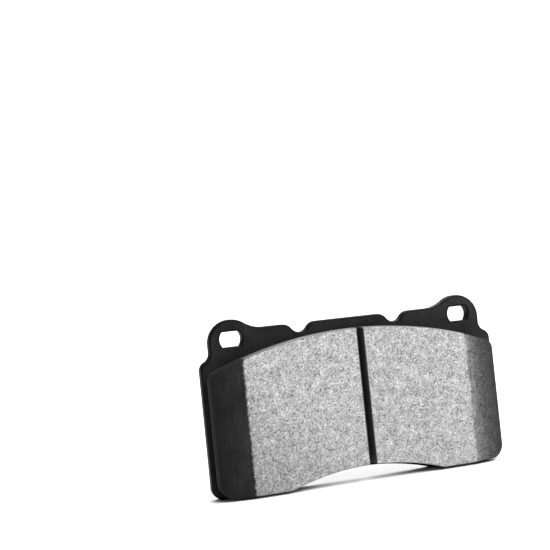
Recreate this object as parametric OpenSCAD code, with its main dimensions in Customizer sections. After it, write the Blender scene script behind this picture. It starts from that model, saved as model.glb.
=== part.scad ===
// Brake pad for a fixed disc brake caliper.
// The pad stands on its lower edge: X runs along its length, Z points up to the pin ears,
// and -Y points at the brake disc. The origin is at the middle of its footprint.

/* [Backing plate] */
// Length of the plate between its two side edges
plate_length = 132; // [131:0.5:134]
// Thickness of the steel plate
plate_thickness = 4.8; // [4:0.1:7]
// Height of the straight top edge between the ears
top_edge_height = 69.5; // [68.5:0.1:70]
// Height at which the side edges give way to the shoulders
side_height = 53.6; // [52:0.1:54]
// Radius of the rounded corner and of the hollow that make a shoulder
shoulder_radius = 4; // [3:0.5:5]
// Radius of the lower corners
lower_corner_radius = 5; // [3:0.5:8]
// Height of the arch in the middle of the lower edge
arch_height = 5.2; // [3:0.1:9]
// Radius of the arch in the lower edge
arch_radius = 104; // [90:1:140]

/* [Pin ears] */
// Distance between the two ear centres
ear_spacing = 103; // [102:0.2:104]
// Height of the ear centres
ear_height = 64.1; // [63.5:0.1:64.5]
// Outer radius of an ear
ear_radius = 9.9; // [9.4:0.1:10.4]
// Radius of the hollow between an ear and the top edge
ear_root_radius = 15; // [10:0.5:20]
// Distance between the two pin hole centres
pin_spacing = 103.6; // [102:0.1:105]
// Height of the pin hole centres
pin_height = 65.7; // [64.5:0.1:66.5]
// Radius of the round ends of a pin hole
pin_hole_radius = 4.8; // [4.4:0.05:5.4]
// Height of a pin hole between its two flats
pin_hole_flats = 6.4; // [5.5:0.1:8]

/* [Top edge notches] */
// Distance between the centres of the two notches
notch_spacing = 43; // [36:0.2:50]
// Depth of a notch below the top edge
notch_depth = 4; // [3:0.1:4.4]
// Radius of the hollow floor of a notch
notch_floor_radius = 4.4; // [4:0.1:4.8]
// Radius of the rounded lips of a notch
notch_lip_radius = 4.8; // [4.4:0.1:5.2]

/* [Friction material] */
// Height of the friction material above the plate
friction_height = 8.7; // [6:0.1:12]
// Thickness of the underlayer, included in the height
underlayer_thickness = 2; // [1:0.1:2.2]
// Length of the friction material
friction_length = 127.6; // [124:0.2:130]
// Radius of the arched top edge
friction_top_radius = 164; // [150:1:200]
// Highest point of the arched top edge
friction_top_height = 64.9; // [62:0.1:65]
// Lowest point of the friction material
friction_bottom_height = 1.2; // [1:0.1:3]
// Gap between the plate's arch and the friction material's arch
friction_arch_margin = 1.7; // [1:0.1:3]
// Radius of the friction material's upper corners
friction_upper_corner_radius = 4; // [2:0.5:5]
// Radius of the friction material's lower corners
friction_lower_corner_radius = 6; // [3:0.5:7]
// Width of the slot
slot_width = 3; // [2:0.1:5]
// Distance of the slot from the middle, towards +X
slot_offset = 2; // [0:0.1:6]
// Length of the flat face between the two end chamfers
flat_face_length = 99.2; // [80:0.2:110]
// Height of the friction material at its ends, below the chamfers
end_height = 5.7; // [3:0.1:5.9]
// Thickness of the adhesive film on the plate
bond_thickness = 0.1; // [0.05:0.01:0.3]

/* [Retention holes] */
// Diameter of the retention holes that the underlayer fills
retention_diameter = 10; // [6:0.5:12]
// Distance between the inner pair of retention holes
retention_inner_spacing = 36; // [24:1:48]
// Distance between the outer pair of retention holes
retention_outer_spacing = 90; // [70:1:100]
// Height of the retention holes
retention_height = 34; // [25:1:45]

/* [Anti-squeal shim] */
// Thickness of the shim's adhesive layer
shim_adhesive_thickness = 0.1; // [0.05:0.01:0.3]
// Thickness of the shim's steel core
shim_core_thickness = 0.5; // [0.3:0.05:1]
// Thickness of the shim's outer rubber coat
shim_coat_thickness = 0.1; // [0.05:0.01:0.3]
// Margin between the shim and the edges and pin holes of the plate
shim_margin = 2.5; // [1:0.1:4]
// Radius of the shim's upper corners
shim_upper_corner_radius = 12; // [10:0.5:16]
// Radius of the shim's lower corners
shim_lower_corner_radius = 5; // [3:0.5:8]

/* [Hidden] */
$fn = 96;
// Facets of the long arches
arch_fn = 360;
// Space by which a cutting shape reaches past what it cuts
over = 1;
// Overlap of two arcs that run into each other, so that they meet at one clean corner
blend = 0.001;

// Depths, from the friction face at the smallest Y to the back of the shim at the largest
shim_thickness = shim_adhesive_thickness + shim_core_thickness + shim_coat_thickness;
total_thickness = friction_height + plate_thickness + shim_thickness;
face_y = -total_thickness / 2;
plate_front_y = face_y + friction_height;
plate_back_y = plate_front_y + plate_thickness;
bond_front_y = plate_front_y - bond_thickness;
underlayer_front_y = plate_front_y - underlayer_thickness;
core_front_y = plate_back_y + shim_adhesive_thickness;
coat_front_y = core_front_y + shim_core_thickness;
back_y = coat_front_y + shim_coat_thickness;

// Extrudes an outline, drawn with X across and Z up, between two depths
module slab(front_y, rear_y)
  translate([0, rear_y, 0])
    rotate([90, 0, 0])
      linear_extrude(rear_y - front_y)
        children();

// Draws an outline on both sides of the middle
module both_sides() {
  children();
  mirror([1, 0])
    children();
}

// Waste outside a rounded upper right corner, whose sharp point would be at [x, z]
module upper_corner_waste(x, z, radius)
  translate([x - radius, z - radius])
    difference() {
      square(radius + over);
      circle(radius);
    }

// Waste outside a rounded lower right corner, whose sharp point would be at [x, z]
module lower_corner_waste(x, z, radius)
  translate([0, 2 * z])
    mirror([0, 1])
      upper_corner_waste(x, z, radius);

// Circle that hollows a lower edge up to the given height
module lower_arch(height, radius)
  translate([0, height - radius])
    circle(radius, $fn = arch_fn);

// Side of the plate below the ear: a rounded corner that runs into a hollow
module shoulder() {
  ear_side = ear_spacing / 2 + ear_radius;
  corner = [plate_length / 2 - shoulder_radius, side_height];
  hollow_x = ear_side + shoulder_radius;
  rise = sqrt(pow(2 * shoulder_radius - blend, 2) - pow(hollow_x - corner[0], 2));
  hollow = [hollow_x, side_height + rise];
  square([plate_length / 2, side_height]);
  translate(corner)
    circle(shoulder_radius);
  difference() {
    polygon([[0, side_height - over], corner, hollow, [0, hollow[1]]]);
    translate(hollow)
      circle(shoulder_radius);
  }
  square([ear_side, ear_height]);
}

// Round ear, with the hollow that runs from it to the top edge
module ear() {
  centre = [ear_spacing / 2, ear_height];
  root_z = top_edge_height + ear_root_radius;
  run = sqrt(pow(ear_radius + ear_root_radius - blend, 2) - pow(root_z - ear_height, 2));
  root = [centre[0] - run, root_z];
  translate(centre)
    circle(ear_radius);
  difference() {
    polygon([[root[0], ear_height], centre, root]);
    translate(root)
      circle(ear_root_radius);
  }
}

// Notch cut from the top edge: a hollow floor between two rounded lips
module notch() {
  floor_z = top_edge_height - notch_depth + notch_floor_radius;
  lip_z = top_edge_height - notch_lip_radius;
  reach = notch_floor_radius + notch_lip_radius - blend;
  run = sqrt(pow(reach, 2) - pow(floor_z - lip_z, 2));
  top_z = top_edge_height + over;
  translate([notch_spacing / 2, 0])
    difference() {
      union() {
        polygon([[-run, top_z], [-run, lip_z], [0, floor_z], [run, lip_z], [run, top_z]]);
        translate([0, floor_z])
          circle(notch_floor_radius);
      }
      both_sides()
        translate([run, lip_z])
          circle(notch_lip_radius);
    }
}

// Pin hole: a round hole with a flat above and a flat below
module pin_hole()
  translate([pin_spacing / 2, pin_height])
    intersection() {
      circle(pin_hole_radius);
      square([3 * pin_hole_radius, pin_hole_flats], center = true);
    }

// Retention holes of the right half of the plate
module retention_holes()
  for (spacing = [retention_inner_spacing, retention_outer_spacing])
    translate([spacing / 2, retention_height])
      circle(d = retention_diameter);

module plate_outline()
  difference() {
    union() {
      both_sides() {
        shoulder();
        ear();
      }
      translate([-ear_spacing / 2, 0])
        square([ear_spacing, top_edge_height]);
    }
    both_sides() {
      lower_corner_waste(plate_length / 2, 0, lower_corner_radius);
      pin_hole();
      notch();
      retention_holes();
    }
    lower_arch(arch_height, arch_radius);
  }

// Waste outside the friction material's upper corner, where its side meets the arched top
module friction_corner_waste() {
  radius = friction_upper_corner_radius;
  arc_z = friction_top_height - friction_top_radius;
  x = friction_length / 2 - radius;
  reach = friction_top_radius - radius;
  rise = sqrt(pow(reach, 2) - pow(x, 2));
  side = radius + over;
  translate([x, arc_z + rise])
    difference() {
      polygon([[0, 0], [side, 0], [side, side], [side * x / reach, side * rise / reach]]);
      circle(radius);
    }
}

module friction_outline()
  difference() {
    intersection() {
      translate([0, friction_top_height - friction_top_radius])
        circle(friction_top_radius, $fn = arch_fn);
      translate([-friction_length / 2, friction_bottom_height])
        square([friction_length, friction_top_height]);
    }
    both_sides() {
      friction_corner_waste();
      lower_corner_waste(friction_length / 2, friction_bottom_height, friction_lower_corner_radius);
    }
    lower_arch(arch_height + friction_arch_margin, arch_radius);
  }

// Friction material above the underlayer from the given X to its right end, with the end chamfer
module friction_half(slot_side) {
  end_y = plate_front_y - end_height;
  intersection() {
    slab(face_y, underlayer_front_y)
      friction_outline();
    linear_extrude(top_edge_height)
      polygon([
        [slot_side, face_y],
        [flat_face_length / 2, face_y],
        [friction_length / 2, end_y],
        [friction_length / 2, underlayer_front_y],
        [slot_side, underlayer_front_y]
      ]);
  }
}

module shim_outline() {
  side_x = plate_length / 2 - shim_margin;
  top_z = pin_height - pin_hole_flats / 2 - shim_margin;
  difference() {
    translate([-side_x, shim_margin])
      square([2 * side_x, top_z - shim_margin]);
    both_sides() {
      upper_corner_waste(side_x, top_z, shim_upper_corner_radius);
      lower_corner_waste(side_x, shim_margin, shim_lower_corner_radius);
    }
    lower_arch(arch_height + shim_margin, arch_radius);
  }
}

// Steel plate with a pin hole in each ear, painted satin black
module backing_plate()
  color("#2b2c2e")
    slab(plate_front_y, plate_back_y)
      plate_outline();

// Cured adhesive between the plate and the friction material
module bond_film()
  color("#7a4a22")
    slab(bond_front_y, plate_front_y)
      difference() {
        friction_outline();
        both_sides()
          retention_holes();
      }

// Layer that carries both friction blocks and fills the retention holes. The plugs start inside the
// layer, so that they are one solid with it
module underlayer()
  color("#4c4a47") {
    slab(underlayer_front_y, bond_front_y)
      friction_outline();
    slab((underlayer_front_y + bond_front_y) / 2, plate_back_y)
      both_sides()
        retention_holes();
  }

module friction_block_right()
  color("#b8b8b6")
    friction_half(slot_width / 2 + slot_offset);

module friction_block_left()
  color("#b8b8b6")
    mirror([1, 0, 0])
      friction_half(slot_width / 2 - slot_offset);

// Pressure-sensitive layer that holds the shim on the plate
module shim_adhesive()
  color("#c9b27c")
    slab(plate_back_y, core_front_y)
      shim_outline();

// Sheet steel of the shim
module shim_core()
  color("#9a9da1")
    slab(core_front_y, coat_front_y)
      shim_outline();

// Rubber coat on the piston side of the shim
module shim_coat()
  color("#1c1c1d")
    slab(coat_front_y, back_y)
      shim_outline();

backing_plate();
bond_film();
underlayer();
friction_block_left();
friction_block_right();
shim_adhesive();
shim_core();
shim_coat();
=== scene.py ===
"""Looks of the brake pad: rounded meshes, materials, floor, light and camera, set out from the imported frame."""

import math

import bpy
from mathutils import Matrix, Vector, noise
from mathutils.geometry import delaunay_2d_cdt


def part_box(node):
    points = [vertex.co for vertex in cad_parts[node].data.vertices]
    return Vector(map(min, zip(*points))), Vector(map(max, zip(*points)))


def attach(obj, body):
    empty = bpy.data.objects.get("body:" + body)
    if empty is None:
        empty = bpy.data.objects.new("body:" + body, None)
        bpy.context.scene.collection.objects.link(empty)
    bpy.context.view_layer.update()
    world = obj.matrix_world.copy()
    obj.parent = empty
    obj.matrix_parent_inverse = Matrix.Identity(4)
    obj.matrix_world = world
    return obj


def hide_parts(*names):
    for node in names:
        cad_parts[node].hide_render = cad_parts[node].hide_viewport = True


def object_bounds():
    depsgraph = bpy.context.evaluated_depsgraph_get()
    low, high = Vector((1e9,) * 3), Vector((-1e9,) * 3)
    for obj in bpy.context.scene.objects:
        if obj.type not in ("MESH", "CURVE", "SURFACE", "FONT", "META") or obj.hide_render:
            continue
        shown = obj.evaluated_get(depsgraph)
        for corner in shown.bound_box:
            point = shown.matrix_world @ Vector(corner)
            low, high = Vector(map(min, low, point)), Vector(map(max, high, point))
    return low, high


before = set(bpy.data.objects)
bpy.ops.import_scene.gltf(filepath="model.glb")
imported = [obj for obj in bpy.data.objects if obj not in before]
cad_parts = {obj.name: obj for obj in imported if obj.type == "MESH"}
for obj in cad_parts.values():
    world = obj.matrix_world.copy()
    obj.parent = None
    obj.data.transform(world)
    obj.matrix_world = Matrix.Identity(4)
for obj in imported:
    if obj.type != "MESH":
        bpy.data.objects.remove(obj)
cad_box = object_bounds()

MM = 0.001
SAME_PLACE = 0.002 * MM

# Depths along Y, from the frame
FACE_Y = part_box("friction_block_left")[0].y
BLOCK_BACK_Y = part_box("friction_block_left")[1].y
PLATE_FRONT_Y, PLATE_BACK_Y = (corner.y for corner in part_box("backing_plate"))

# Rounding of the edges
DIE_ROLL = 0.9 * MM
HOLE_ROLL = 0.8 * MM
BACK_EDGE = 0.3 * MM
BLOCK_EDGE = 0.3 * MM
BLOCK_CHIPS = 0.12 * MM
ROUND_STEPS = 5
SHARP_ANGLE = math.radians(28)

# Half-width of the bend between the ground face and each chamfer
BENDS = {"friction_block_left": 0.4 * MM, "friction_block_right": 1.6 * MM}

# Camera: its place, the way it looks and its field of view
CAMERA_PLACE = Vector((-0.1407, -0.4037, 0.0831))
CAMERA_YAW = math.radians(15.26)
CAMERA_RISE = math.radians(1.02)
CAMERA_ROLL = math.radians(5.87)
CAMERA_LENS = 65.08
SENSOR = 36.0

# Light: two wide soft sources, each with its energy and the way its light travels
LIGHTS = {
    "softbox": (5.0, (-0.4, 0.55, -0.75)),
    "back_fill": (3.5, (-0.35, -0.6, -0.75)),
}
LIGHT_ANGLE = math.radians(50)
SURROUND_STRENGTH = 0.25
BACKDROP_STRENGTH = 1.05
FLOOR_REACH = 6.0


# ---------------------------------------------------------------- outlines

def face_loops(node, depth):
    """Closed outlines of a CAD node's flat face at Y = depth: lists of (x, z) with the solid on their left."""
    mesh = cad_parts[node].data
    edges = set()
    for face in mesh.polygons:
        corners = [mesh.vertices[i].co for i in face.vertices]
        if any(abs(corner.y - depth) > SAME_PLACE for corner in corners):
            continue
        keys = [(round(c.x / SAME_PLACE), round(c.z / SAME_PLACE)) for c in corners]
        for start, end in zip(keys, keys[1:] + keys[:1]):
            if (end, start) in edges:
                edges.remove((end, start))
            elif start != end:
                edges.add((start, end))
    following = dict(edges)
    loops = []
    while following:
        start, key = following.popitem()
        loop = [start]
        while key != start:
            loop.append(key)
            key = following.pop(key)
        loops.append(without_doubles([Vector(point) * SAME_PLACE for point in loop]))
    loops.sort(key=lambda loop: -abs(loop_area(loop)))
    if loop_area(loops[0]) < 0:
        loops = [loop[::-1] for loop in loops]
    return loops


def without_doubles(loop):
    """The same loop without points that are all but on top of the one before them."""
    pairs = zip(loop[-1:] + loop[:-1], loop)
    return [point for before, point in pairs if (point - before).length > 3 * SAME_PLACE]


def loop_area(loop):
    """Area inside a loop, positive when it runs anticlockwise."""
    return sum(a.cross(b) for a, b in zip(loop, loop[1:] + loop[:1])) / 2


def divided(loop, longest):
    """The same loop with its long stretches cut into equal steps."""
    points = []
    for start, end in zip(loop, loop[1:] + loop[:1]):
        steps = max(1, math.ceil((end - start).length / longest))
        points += [start.lerp(end, step / steps) for step in range(steps)]
    return points


def split_at(loop, x):
    """The same loop with a point added wherever it crosses the given x."""
    points = []
    for start, end in zip(loop, loop[1:] + loop[:1]):
        points.append(start)
        if (start.x - x) * (end.x - x) < 0:
            points.append(start.lerp(end, (x - start.x) / (end.x - start.x)))
    return points


def inset(loop, distance):
    """Moves every point of a loop into the solid, by a distance that may differ from point to point."""
    moved = []
    for before, here, after in zip(loop[-1:] + loop[:-1], loop, loop[1:] + loop[:1]):
        a, b = (here - before).normalized(), (after - here).normalized()
        across = Vector((-a.y - b.y, a.x + b.x)) / max(0.3, 1 + a.dot(b))
        moved.append(here + across * distance(here))
    return moved


# ---------------------------------------------------------------- meshes

def rounded_profile(front, back):
    """Rings of a side wall, from the front edge to the back one, each as (the side it is measured from, how far
    it is set into the solid, its depth from that side). An edge with no radius is a single ring."""
    rings = []
    for side, radius in (("front", front), ("back", back)):
        steps = ROUND_STEPS if radius else 0
        for step in range(steps + 1):
            turn = math.pi / 2 * step / ROUND_STEPS
            in_by, down_by = radius * (1 - math.sin(turn)), radius * (1 - math.cos(turn))
            rings.append((side, in_by, down_by) if side == "front" else (side, down_by, in_by))
    return rings


def extruded(name, loops, radii, front_y, back_y, chips=0.0, creases=()):
    """A solid between two surfaces with rounded edges. radii gives each loop's (front, back) edge radius;
    front_y is a function of x, and creases are the x at which that surface bends."""
    for x in creases:
        loops = [split_at(loop, x) for loop in loops]

    vertices, faces, groups = [], [], []

    def add_ring(loop, radius, side, shift, depth):
        share = shift / radius if radius else 0.0
        moved = inset(loop, lambda p: shift + chips * share * noise.noise(Vector((p.x, p.y, 0)) / MM))
        first = len(vertices)
        for point in moved:
            front = front_y(point.x)
            y = front + depth if side == "front" else back_y - depth
            vertices.append(Vector((point.x, y, point.y)))
        return first

    caps = {"front": [], "back": []}
    for loop, (front, back) in zip(loops, radii):
        rings = []
        for side, shift, depth in rounded_profile(front, back):
            rings.append(add_ring(loop, front if side == "front" else back, side, shift, depth))
        count = len(loop)
        for ring, lower in zip(rings, rings[1:]):
            for i in range(count):
                j = (i + 1) % count
                faces.append((ring + i, lower + i, lower + j, ring + j))
                groups.append("wall")
        caps["front"].append((rings[0], count))
        caps["back"].append((rings[-1], count))

    for side, rims in caps.items():
        indices = [first + i for first, count in rims for i in range(count)]
        flat = [Vector((vertices[i].x, vertices[i].z)) for i in indices]
        edges, outlines, start = [], [], 0
        for _, count in rims:
            edges += [(start + i, start + (i + 1) % count) for i in range(count)]
            outlines.append(flat[start:start + count])
            start += count
        if side == "front":
            edges += crease_edges(loops[0], creases)
        made = delaunay_2d_cdt(flat, edges, [], 1, 1e-9)
        if len(made[0]) != len(flat):
            raise ValueError(f"{name}: the {side} face gained or lost points")
        for triangle in made[2]:
            middle = sum((made[0][i] for i in triangle), Vector((0, 0))) / 3
            if not inside(middle, outlines[0]) or any(inside(middle, hole) for hole in outlines[1:]):
                continue
            ids = [indices[made[3][i][0]] for i in triangle]
            faces.append(tuple(ids) if side == "front" else tuple(reversed(ids)))
            groups.append(side)

    mesh = bpy.data.meshes.new(name)
    mesh.from_pydata(vertices, [], faces)
    mesh.validate()
    piece = bpy.data.objects.new(name, mesh)
    bpy.context.scene.collection.objects.link(piece)
    return piece, groups


def crease_edges(loop, creases):
    """Pairs of points, by index in the loop, between which the front surface bends."""
    pairs = []
    for x in creases:
        ends = [i for i, point in enumerate(loop) if abs(point.x - x) < SAME_PLACE / 100]
        if len(ends) == 2:
            pairs.append(tuple(ends))
    return pairs


def inside(point, loop):
    """Whether a point lies inside a loop, by counting the edges to its right."""
    odd = False
    for a, b in zip(loop, loop[1:] + loop[:1]):
        if (a.y > point.y) != (b.y > point.y):
            if point.x < a.x + (b.x - a.x) * (point.y - a.y) / (b.y - a.y):
                odd = not odd
    return odd


def shade(piece):
    """Smooth shading that stays flat on flat faces and breaks at real corners."""
    piece.data.shade_smooth()
    piece.data.set_sharp_from_angle(angle=SHARP_ANGLE)
    weigh = piece.modifiers.new("weighted_normals", "WEIGHTED_NORMAL")
    weigh.keep_sharp = True


# ---------------------------------------------------------------- materials

class Nodes:
    """Short forms for making a material's nodes."""

    def __init__(self, name):
        self.material = bpy.data.materials.new(name)
        self.material.use_nodes = True
        self.tree = self.material.node_tree
        self.shader = self.tree.nodes["Principled BSDF"]
        self.place = self.add("ShaderNodeTexCoord").outputs["Object"]

    def add(self, kind, **settings):
        node = self.tree.nodes.new(kind)
        for key, value in settings.items():
            if key in node.inputs:
                node.inputs[key].default_value = value
            else:
                setattr(node, key, value)
        return node

    def link(self, source, node, socket):
        self.tree.links.new(source, node.inputs[socket])
        return node

    def along(self, axis):
        """Object coordinate along one axis."""
        node = self.add("ShaderNodeSeparateXYZ")
        return self.link(self.place, node, "Vector").outputs[axis]

    def stretched(self, x=1.0, y=1.0, z=1.0):
        """Object coordinates stretched along each axis."""
        node = self.add("ShaderNodeMapping")
        node.inputs["Scale"].default_value = (1 / x, 1 / y, 1 / z)
        return self.link(self.place, node, "Vector").outputs["Vector"]

    def noise(self, size, detail=2.0, roughness=0.5, place=None):
        """Noise from 0 to 1 whose blobs are about the given size in metres."""
        node = self.add("ShaderNodeTexNoise")
        node.inputs["Scale"].default_value = 1 / size
        node.inputs["Detail"].default_value = detail
        node.inputs["Roughness"].default_value = roughness
        return self.link(place or self.place, node, "Vector").outputs["Fac"]

    def ramp(self, factor, *stops):
        """Colour ramp through (position, grey or colour) stops."""
        node = self.add("ShaderNodeValToRGB")
        elements = node.color_ramp.elements
        while len(elements) < len(stops):
            elements.new(0.5)
        for element, (position, colour) in zip(elements, stops):
            element.position = position
            element.color = (*colour, 1) if isinstance(colour, tuple) else (colour, colour, colour, 1)
        return self.link(factor, node, "Fac").outputs["Color"]

    def span(self, value, low, high, to_low=0.0, to_high=1.0, smooth=False):
        """Maps a value from one span to another, clamped."""
        node = self.add("ShaderNodeMapRange", clamp=True)
        node.interpolation_type = "SMOOTHSTEP" if smooth else "LINEAR"
        for socket, number in zip(("From Min", "From Max", "To Min", "To Max"), (low, high, to_low, to_high)):
            node.inputs[socket].default_value = number
        return self.link(value, node, "Value").outputs["Result"]

    def math(self, operation, a, b):
        """One sum of two values, either of which may be a number."""
        node = self.add("ShaderNodeMath", operation=operation)
        for index, value in enumerate((a, b)):
            if isinstance(value, (int, float)):
                node.inputs[index].default_value = value
            else:
                self.link(value, node, index)
        return node.outputs["Value"]

    def mix(self, factor, a, b, blend="MIX"):
        """Mixes two colours."""
        node = self.add("ShaderNodeMix", data_type="RGBA", blend_type=blend)
        for socket, value in ((0, factor), (6, a), (7, b)):
            if isinstance(value, (int, float)):
                node.inputs[socket].default_value = value
            elif isinstance(value, tuple):
                node.inputs[socket].default_value = (*value, 1)
            else:
                self.link(value, node, socket)
        return node.outputs[2]

    def bump(self, height, distance, strength=1.0):
        """Relief of the given depth in metres."""
        node = self.add("ShaderNodeBump")
        node.inputs["Distance"].default_value = distance
        node.inputs["Strength"].default_value = strength
        self.link(height, node, "Height")
        self.link(node.outputs["Normal"], self.shader, "Normal")

    def finish(self, colour=None, roughness=0.5, metallic=0.0, specular=0.5):
        if colour is not None:
            self.link(colour, self.shader, "Base Color")
        if isinstance(roughness, float):
            self.shader.inputs["Roughness"].default_value = roughness
        else:
            self.link(roughness, self.shader, "Roughness")
        self.shader.inputs["Metallic"].default_value = metallic
        self.shader.inputs["Specular IOR Level"].default_value = specular
        return self.material


def black_paint(name, low, high):
    """Satin black paint on the plate: faint orange peel, and painted light that makes it lighter towards the
    right.
    """
    n = Nodes(name)
    cloud = n.noise(14 * MM, 3.0, 0.6)
    grain = n.noise(0.6 * MM, 3.0, 0.7)
    # painted light: the paint's colour is scaled from 0.6 at the left to 1.15 at the right, as if lit more from
    # the right
    painted_light_rightward = n.span(n.along("X"), cad_box[0].x, cad_box[1].x, 0.6, 1.15)
    colour = n.ramp(n.mix(0.6, cloud, grain), (0.3, low), (0.7, high))
    n.bump(n.noise(0.7 * MM, 2.0, 0.5), 0.02 * MM, 0.6)
    return n.finish(n.mix(1.0, colour, painted_light_rightward, "MULTIPLY"), n.span(cloud, 0.3, 0.7, 0.5, 0.6), specular=0.06)


def friction_colours(n):
    """Fine pale and dark grains of the ground friction material."""
    fine = n.noise(0.8 * MM, 3.0, 0.75)
    broad = n.noise(9 * MM, 3.0, 0.6)
    blend = n.mix(0.25, fine, n.noise(2.6 * MM, 2.0, 0.6))
    grains = n.ramp(blend, (0.34, 0.045), (0.45, 0.235), (0.55, 0.36), (0.66, 0.63))
    specks = n.add("ShaderNodeTexVoronoi", feature="F1")
    specks.inputs["Scale"].default_value = 1 / (1.9 * MM)
    n.link(n.place, specks, "Vector")
    dark = n.span(specks.outputs["Distance"], 0.10, 0.26, 0.55, 1.0)
    shaded = n.mix(1.0, grains, n.ramp(dark, (0.0, 0.0), (1.0, 1.0)), "MULTIPLY")
    return n.mix(1.0, shaded, n.ramp(broad, (0.3, 0.92), (0.7, 1.0)), "MULTIPLY"), fine


def ground_friction(left, right):
    """Ground working face, darkened towards the lower left as painted shade. Beyond the left crease the chamfer
    keeps its dark coat. Beyond the right one the face colour fades into the dark coat towards the end. left and
    right each give the x of a crease and of an end."""
    n = Nodes("ground_friction")
    pale, fine = friction_colours(n)
    wander = n.span(n.noise(1.4 * MM, 2.0, 0.6), 0.3, 0.7, -0.4 * MM, 0.4 * MM)
    x = n.math("ADD", n.along("X"), wander)

    # painted shade: the face is darkened to 0.66 towards the lower left, away from the light
    shade_reach = n.math("ADD", n.along("Z"), n.math("SUBTRACT", n.along("X"), left[0]))
    painted_shade_lower_left = n.span(shade_reach, 8 * MM, 58 * MM, 0.66, 1.0)
    face = n.mix(1.0, pale, painted_shade_lower_left, "MULTIPLY")

    streaks = n.noise(1.1 * MM, 3.0, 0.65, n.stretched(1.0, 1.0, 14.0))
    uneven = n.span(streaks, 0.3, 0.7, -0.12, 0.12)
    # beyond the right crease the face colour fades into the dark coat towards the end, with streaks
    fading = n.ramp(n.math("ADD", n.span(x, right[0], right[1]), uneven),
                    (0.0, 0.50), (0.2, 0.27), (0.5, 0.12), (0.95, 0.03))
    beyond = n.span(x, right[0] - 1.0 * MM, right[0] + 1.0 * MM, smooth=True)
    ground_left = n.span(x, left[0] - 0.6 * MM, left[0] + 0.6 * MM, smooth=True)
    ground = n.math("MULTIPLY", ground_left, n.mix(beyond, (1.0, 1.0, 1.0), fading))

    cloud = n.noise(7 * MM, 3.0, 0.6)
    coat = n.ramp(n.mix(0.4, n.mix(0.4, streaks, cloud), fine), (0.3, 0.0), (0.7, 0.020))
    scuffed = n.span(x, left[1], left[0], 0.5, 1.5)
    coat = n.mix(1.0, coat, scuffed, "MULTIPLY")
    n.bump(fine, 0.05 * MM, 0.5)
    return n.finish(n.mix(ground, coat, face), n.span(ground, 0.0, 1.0, 0.62, 0.8), specular=0.08)


def moulded_wall(left, right):
    """Outer side wall of the blocks: medium grey beside the ground face and dark beside the chamfers."""
    n = Nodes("moulded_wall")
    grain = n.noise(0.6 * MM, 3.0, 0.7)
    x = n.along("X")
    beside = n.math("MULTIPLY", n.span(x, left, left + MM), n.span(x, right, right - MM))
    n.bump(grain, 0.06 * MM, 0.6)
    dark = n.ramp(grain, (0.3, 0.010), (0.7, 0.020))
    grey = n.ramp(grain, (0.3, 0.10), (0.7, 0.22))
    return n.finish(n.mix(beside, dark, grey), 0.85, specular=0.1)


def moulded_friction(name, low, high):
    """Moulded side walls: rough, even and darker than the ground face."""
    n = Nodes(name)
    grain = n.noise(0.6 * MM, 3.0, 0.7)
    cloud = n.noise(8 * MM, 2.0, 0.5)
    n.bump(grain, 0.06 * MM, 0.6)
    return n.finish(n.ramp(n.mix(0.4, grain, cloud), (0.3, low), (0.7, high)), 0.85, specular=0.2)


def bond_resin():
    """Cured resin that shows as a hairline round the friction material."""
    n = Nodes("bond_resin")
    cloud = n.noise(3 * MM, 2.0, 0.5)
    return n.finish(n.ramp(cloud, (0.3, (0.10, 0.045, 0.018)), (0.7, (0.2, 0.1, 0.045))), 0.4)


def shim_rubber():
    """Thin matt rubber coat with a fine pebbled texture."""
    n = Nodes("shim_rubber")
    pebble = n.noise(0.45 * MM, 2.0, 0.6)
    cloud = n.noise(20 * MM, 3.0, 0.6)
    n.bump(pebble, 0.03 * MM, 0.6)
    colour = n.ramp(n.mix(0.3, cloud, pebble), (0.3, (0.012, 0.012, 0.013)), (0.7, (0.026, 0.026, 0.028)))
    return n.finish(colour, n.span(cloud, 0.3, 0.7, 0.55, 0.7), specular=0.35)


def shim_steel():
    """Cut edge of the cold rolled sheet."""
    n = Nodes("shim_steel")
    lines = n.noise(0.4 * MM, 2.0, 0.6, n.stretched(12.0, 1.0, 12.0))
    return n.finish(n.ramp(lines, (0.3, 0.32), (0.7, 0.5)), n.span(lines, 0.3, 0.7, 0.3, 0.45), metallic=1.0)


def shim_glue():
    """Edge of the adhesive layer."""
    n = Nodes("shim_glue")
    return n.finish(n.ramp(n.noise(1.5 * MM), (0.3, (0.3, 0.22, 0.1)), (0.7, (0.42, 0.33, 0.17))), 0.5)


def pale_floor():
    """Plain pale studio floor."""
    n = Nodes("pale_floor")
    cloud = n.noise(0.6, 2.0, 0.5)
    return n.finish(n.ramp(cloud, (0.3, 0.86), (0.7, 0.88)), 0.7, specular=0.2)


# ---------------------------------------------------------------- pieces

def paint_node(node, material):
    """Gives a CAD node, which is shown as it is, a new material."""
    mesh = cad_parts[node].data
    mesh.materials.clear()
    mesh.materials.append(material)


def finish_piece(piece, node):
    """Shades a piece and puts it in the place of its CAD node."""
    shade(piece)
    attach(piece, "root")
    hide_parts(node)


def make_plate():
    """Stamped plate with rolled front edges and light back edges; its walls, rolled edges and hole rims get a
    darker copy of the paint as painted shade.
    """
    loops = face_loops("backing_plate", PLATE_FRONT_Y)
    radii = [(DIE_ROLL, BACK_EDGE)] + [(HOLE_ROLL, BACK_EDGE)] * (len(loops) - 1)
    piece, groups = extruded("plate", loops, radii, lambda x: PLATE_FRONT_Y, PLATE_BACK_Y)
    piece.data.materials.append(black_paint("satin_black_paint", 0.002, 0.028))
    # painted shade: the walls, rolled edges and hole rims use a darker copy of the black paint
    piece.data.materials.append(black_paint("wall_black_paint_painted_shade", 0.001, 0.010))
    for polygon, group in zip(piece.data.polygons, groups):
        polygon.material_index = 1 if group == "wall" else 0
    finish_piece(piece, "backing_plate")


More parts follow.
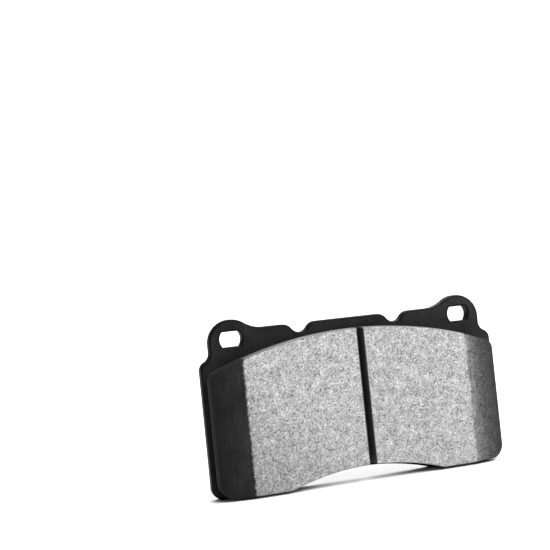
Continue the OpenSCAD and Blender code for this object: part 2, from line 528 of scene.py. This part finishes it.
def make_blocks():
    """Friction blocks: a ground face that bends into a chamfer at the pad's end, and moulded walls."""
    ends = {}
    for node in BENDS:
        low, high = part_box(node)
        outer = max(low.x, high.x, key=abs)
        side = math.copysign(1, outer)
        crease, end_rise = chamfer_of(node, side)
        ends[node] = (side, crease, abs(outer), end_rise)
    left, right = ([side * crease, side * outer] for side, crease, outer, _ in ends.values())
    face = ground_friction(left, right)
    wall = moulded_wall(left[0], right[0])
    # painted shade: the slot walls get a darker grey than the outer walls beside the ground face
    slot = moulded_friction("slot_wall_painted_shade", 0.04, 0.08)

    for node, (side, crease, outer, end_rise) in ends.items():
        bend = BENDS[node]
        slope = end_rise / (outer - crease)
        inner = min((corner.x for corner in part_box(node)), key=abs)

        def front_y(x, side=side, crease=crease, slope=slope, bend=bend):
            along = side * x - (crease - bend)
            if along <= 0:
                return FACE_Y
            if along < 2 * bend:
                return FACE_Y + slope * along ** 2 / (4 * bend)
            return FACE_Y + slope * (along - bend)

        creases = [side * (crease + bend * (step / 3 - 1)) for step in range(7)]
        loops = [divided(face_loops(node, BLOCK_BACK_Y)[0], 0.8 * MM)]
        radii = [(BLOCK_EDGE, 0.0)]
        piece, groups = extruded(node + "_worn", loops, radii, front_y, BLOCK_BACK_Y, BLOCK_CHIPS, creases)
        for material in (face, wall, slot):
            piece.data.materials.append(material)
        for polygon, group in zip(piece.data.polygons, groups):
            at_slot = abs(polygon.center.x - inner) < BLOCK_EDGE + BLOCK_CHIPS and abs(polygon.normal.x) > 0.5
            polygon.material_index = 0 if group == "front" else 2 if at_slot else 1
        finish_piece(piece, node)


def chamfer_of(node, side):
    """How far out a block's chamfer starts, and how far its surface has dropped at the end."""
    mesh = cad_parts[node].data
    flat = [v.co for v in mesh.vertices if abs(v.co.y - FACE_Y) < SAME_PLACE]
    crease = max(side * co.x for co in flat)
    outer = max(side * v.co.x for v in mesh.vertices)
    end = min(v.co.y for v in mesh.vertices if abs(side * v.co.x - outer) < SAME_PLACE)
    return crease, end - FACE_Y


def make_layers():
    """The layers that show only at their edges, and the shim's rubber coat on the back."""
    paint_node("bond_film", bond_resin())
    paint_node("underlayer", moulded_friction("moulded_underlayer", 0.025, 0.05))
    paint_node("shim_adhesive", shim_glue())
    paint_node("shim_core", shim_steel())
    paint_node("shim_coat", shim_rubber())


# ---------------------------------------------------------------- studio

def make_floor():
    """Pale floor that reaches far past what any view shows."""
    mesh = bpy.data.meshes.new("floor")
    signs = ((-1, -1), (1, -1), (1, 1), (-1, 1))
    mesh.from_pydata([(FLOOR_REACH * x, FLOOR_REACH * y, 0) for x, y in signs], [], [(0, 1, 2, 3)])
    mesh.materials.append(pale_floor())
    floor = bpy.data.objects.new("floor", mesh)
    bpy.context.scene.collection.objects.link(floor)


def make_lights():
    """The softbox is high on the right in front. The fill is behind the pad and thins its shadow."""
    for name, (energy, direction) in LIGHTS.items():
        sun = bpy.data.lights.new(name, "SUN")
        sun.angle = LIGHT_ANGLE
        sun.energy = energy
        lamp = bpy.data.objects.new(name, sun)
        lamp.rotation_mode = "QUATERNION"
        lamp.rotation_quaternion = Vector(direction).to_track_quat("-Z", "Y")
        bpy.context.scene.collection.objects.link(lamp)


def make_world():
    """White backdrop for the camera, and a dimmer grey surround that lights the object."""
    world = bpy.data.worlds.new("studio")
    bpy.context.scene.world = world
    world.use_nodes = True
    tree = world.node_tree
    surround = tree.nodes["Background"]
    surround.inputs["Color"].default_value = (1, 1, 1, 1)
    surround.inputs["Strength"].default_value = SURROUND_STRENGTH
    backdrop = tree.nodes.new("ShaderNodeBackground")
    backdrop.inputs["Color"].default_value = (1, 1, 1, 1)
    backdrop.inputs["Strength"].default_value = BACKDROP_STRENGTH
    rays = tree.nodes.new("ShaderNodeLightPath")
    choice = tree.nodes.new("ShaderNodeMixShader")
    tree.links.new(rays.outputs["Is Camera Ray"], choice.inputs[0])
    tree.links.new(surround.outputs[0], choice.inputs[1])
    tree.links.new(backdrop.outputs[0], choice.inputs[2])
    tree.links.new(choice.outputs[0], tree.nodes["World Output"].inputs["Surface"])


def make_camera():
    """Camera in front of the pad, to the left of its middle and turned towards it."""
    camera = bpy.data.cameras.new("camera")
    camera.lens = CAMERA_LENS
    camera.sensor_width = SENSOR
    camera.clip_start = 0.01
    holder = bpy.data.objects.new("camera", camera)
    bpy.context.scene.collection.objects.link(holder)
    level = Matrix.Rotation(-CAMERA_YAW, 4, "Z") @ Matrix.Rotation(math.pi / 2 + CAMERA_RISE, 4, "X")
    holder.matrix_world = Matrix.Translation(CAMERA_PLACE) @ level @ Matrix.Rotation(-CAMERA_ROLL, 4, "Z")
    bpy.context.scene.camera = holder


make_plate()
make_blocks()
make_layers()
make_floor()
make_lights()
make_world()
make_camera()
bpy.context.scene.view_settings.view_transform = "Standard"
